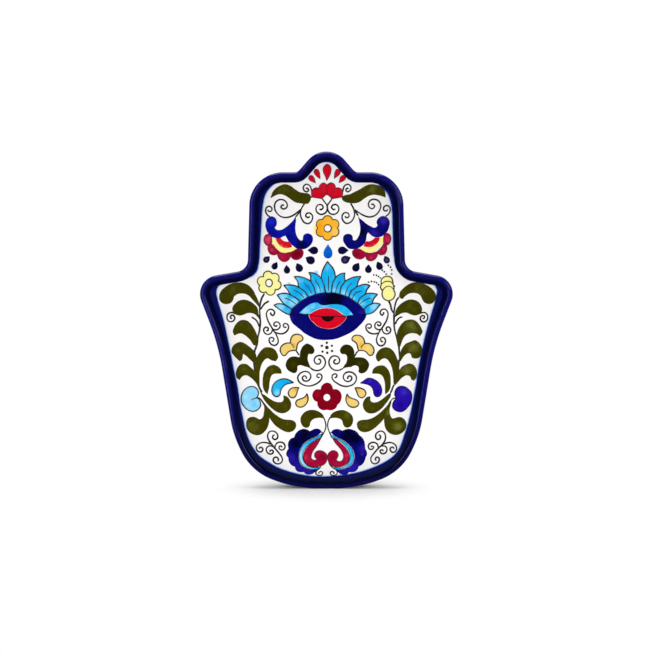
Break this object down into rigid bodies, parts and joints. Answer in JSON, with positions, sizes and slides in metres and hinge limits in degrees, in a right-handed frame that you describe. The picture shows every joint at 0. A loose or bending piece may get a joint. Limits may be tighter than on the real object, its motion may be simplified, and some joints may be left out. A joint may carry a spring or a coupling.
{
  "type": "hamsa hand wall ornament",
  "caption": "Hand-shaped glazed pottery wall ornament: a shallow dish with a rolled rim and enamel flowers round an eye, on a foot ring with hanger holes.",
  "frame": {"origin": "on the wall face of the foot ring, midway between the two hanger holes in its top run", "axes": "+Z to the fingertip, +Y into the wall, +X to the viewer's right of the painted front, which looks along -Y"},
  "size_m": [0.135, 0.02, 0.18],
  "materials": {
    "fired_clay": "unglazed fired white clay",
    "cobalt_glaze": "glossy cobalt glaze, deeper in the well",
    "white_glaze": "glossy white glaze with black liner scrolls",
    "clear_glaze": "clear glaze over white slip",
    "red_enamel": "glossy red enamel",
    "crimson_enamel": "glossy crimson enamel",
    "olive_enamel": "mottled olive enamel",
    "dark_olive_enamel": "dark mottled olive enamel",
    "gold_enamel": "glossy gold-yellow enamel",
    "yellow_enamel": "glossy pale yellow enamel",
    "cobalt_enamel": "glossy cobalt enamel, near black where it pools",
    "blue_enamel": "glossy violet-blue enamel",
    "navy_enamel": "glossy navy enamel",
    "turquoise_enamel": "glossy turquoise enamel",
    "black_enamel": "glossy black enamel"
  },
  "bodies": {
    "root": {"clay_dish": "fired_clay", "foot_ring": "fired_clay", "rim_glaze": "cobalt_glaze", "floor_glaze": "white_glaze", "back_glaze": "clear_glaze", "crest_drops": "red_enamel", "crest_flower": "red_enamel", "carnation_hearts": "red_enamel", "eye_iris": "red_enamel", "carnation_petals": "crimson_enamel", "flower_paisleys": "crimson_enamel", "crimson_rosette": "crimson_enamel", "top_leaves": "olive_enamel", "branch_leaves_left": "olive_enamel", "branch_leaves_right": "olive_enamel", "lower_leaves_left": "olive_enamel", "lower_leaves_right": "olive_enamel", "arch_leaves": "olive_enamel", "inner_leaves_left": "dark_olive_enamel", "inner_leaves_right": "dark_olive_enamel", "olive_sprays": "dark_olive_enamel", "gold_rosette": "gold_enamel", "gold_trefoils": "gold_enamel", "gold_drops": "gold_enamel", "carnation_bands": "yellow_enamel", "yellow_rosette": "yellow_enamel", "yellow_bud": "yellow_enamel", "blue_calyxes": "cobalt_enamel", "eye_rim": "cobalt_enamel", "flower_scallops": "cobalt_enamel", "centre_drop": "blue_enamel", "blue_crescent": "blue_enamel", "blue_bud": "blue_enamel", "navy_drops": "navy_enamel", "eye_crown": "turquoise_enamel", "eye_lid": "turquoise_enamel", "turquoise_crescent": "turquoise_enamel", "turquoise_bud": "turquoise_enamel", "flower_bands": "turquoise_enamel", "eye_pupil": "black_enamel"}
  },
  "joints": []
}
